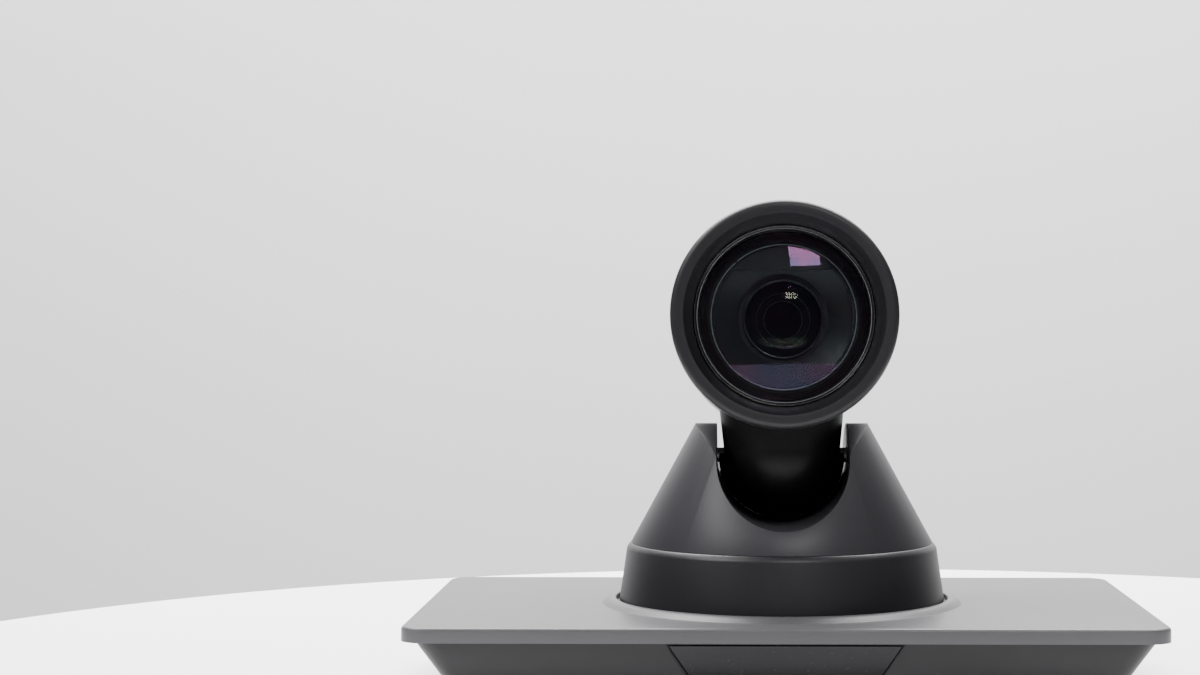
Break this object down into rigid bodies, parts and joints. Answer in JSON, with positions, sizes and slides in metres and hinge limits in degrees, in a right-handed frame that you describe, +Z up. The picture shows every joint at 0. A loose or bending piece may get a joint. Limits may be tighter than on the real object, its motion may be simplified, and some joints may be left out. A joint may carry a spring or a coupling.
{
  "type": "ptz camera",
  "caption": "Conference camera with a round zoom head that tilts in a cone-shaped fork, which pans on a wide flat base with rear ports.",
  "frame": {"origin": "on the table under the middle of the base, at the underside of the rubber feet and on the pan axis", "axes": "+Z up along the pan axis, +X to the right seen from the front, -Y the way the lens looks"},
  "size_m": [0.24, 0.144, 0.1633],
  "materials": {
    "cover_grey": "satin moulded plastic, fine grain",
    "shell_grey": "satin moulded plastic, fine grain",
    "window_black": "infra-red window, polished",
    "panel_black": "black powder coat",
    "plate_steel": "black powder coat",
    "brass": "turned",
    "foot_rubber": "matte",
    "screw_steel": "zinc plated",
    "screw_black": "blackened steel",
    "circuit_green": "solder mask",
    "aluminium": "extruded",
    "port_black": "moulded",
    "port_metal": "pressed, nickel plated",
    "cast_metal": "die cast",
    "motor_steel": "drawn can",
    "bearing_steel": "ground",
    "gear_white": "acetal",
    "skirt_grey": "satin moulded plastic",
    "cone_grey": "satin moulded plastic",
    "bezel_black": "soft satin",
    "head_black": "satin moulded plastic",
    "neck_black": "satin moulded plastic",
    "ring_black": "anodised",
    "lens_black": "anodised",
    "mask_black": "flocked",
    "cell_grey": "satin",
    "coated_glass": "multi-coated optical glass"
  },
  "bodies": {
    "base": {"base_cover": "cover_grey", "base_shell": "shell_grey", "front_window": "window_black", "indicator_board": "circuit_green", "rear_panel": "panel_black", "bottom_plate": "plate_steel", "tripod_insert": "brass", "rubber_feet": "foot_rubber", "base_screws": "screw_steel", "main_board": "circuit_green", "heat_sink": "aluminium", "power_jack": "port_black", "hdmi_port": "port_metal", "usb_port": "port_metal", "lan_port": "port_metal", "serial_ports": "port_black", "audio_jack": "port_black", "pan_frame": "cast_metal", "pan_motor": "motor_steel", "pan_bearing_outer": "bearing_steel", "pan_bearing_balls": "bearing_steel"},
    "pan_pinion": {"pan_pinion": "gear_white"},
    "fork": {"turntable": "cast_metal", "pan_bearing_inner": "bearing_steel", "pan_gear": "gear_white", "spindle_nut": "brass", "fork_skirt": "skirt_grey", "cone_front": "cone_grey", "cone_rear": "cone_grey", "tilt_frame": "cast_metal", "tilt_bearings": "bearing_steel", "motor_bracket": "cast_metal", "tilt_motor": "motor_steel", "driver_board": "circuit_green", "fork_screws": "screw_steel"},
    "tilt_pinion": {"tilt_pinion": "gear_white"},
    "head": {"front_bezel": "bezel_black", "barrel_shell": "head_black", "rear_cap": "head_black", "neck_shell": "neck_black", "trunnion_frame": "cast_metal", "tilt_gear": "gear_white", "lens_ring": "ring_black", "lens_tube": "lens_black", "front_glass": "coated_glass", "picture_mask": "mask_black", "front_cell": "cell_grey", "inner_glass": "coated_glass", "guide_rods": "bearing_steel", "zoom_motor": "motor_steel", "focus_motor": "motor_steel", "sensor_board": "circuit_green", "head_board": "circuit_green", "board_spacers": "brass", "cap_screws": "screw_black"},
    "zoom_group": {"zoom_carriage": "lens_black", "zoom_glass": "coated_glass"},
    "focus_group": {"focus_carriage": "lens_black", "focus_glass": "coated_glass"}
  },
  "joints": [
    {"name": "pan", "type": "hinge", "parent": "base", "child": "fork", "pos_m": [0, 0, 0.03], "axis": [0, 0, 1], "range_deg": [-170, 170]},
    {"name": "tilt", "type": "hinge", "parent": "fork", "child": "head", "pos_m": [0, 0, 0.0794], "axis": [-1, 0, 0], "range_deg": [-34, 26]},
    {"name": "pan_pinion_spin", "type": "hinge", "parent": "base", "child": "pan_pinion", "pos_m": [-0.0316, 0, 0.024], "axis": [0, 0, 1], "range_deg": [-794.29, 794.29]},
    {"name": "tilt_pinion_spin", "type": "hinge", "parent": "fork", "child": "tilt_pinion", "pos_m": [0.0254, 0, 0.045], "axis": [-1, 0, 0], "range_deg": [-179.86, 179.86]},
    {"name": "zoom", "type": "slide", "parent": "head", "child": "zoom_group", "axis": [0, -0.9976, 0.0698], "range_m": [-0.01, 0.004]},
    {"name": "focus", "type": "slide", "parent": "head", "child": "focus_group", "axis": [0, -0.9976, 0.0698], "range_m": [-0.0025, 0.0025]}
  ],
  "couplings": [
    {"joint": "pan_pinion_spin", "follows": "pan", "ratio": -4.6429},
    {"joint": "tilt_pinion_spin", "follows": "tilt", "ratio": -5.1429}
  ]
}
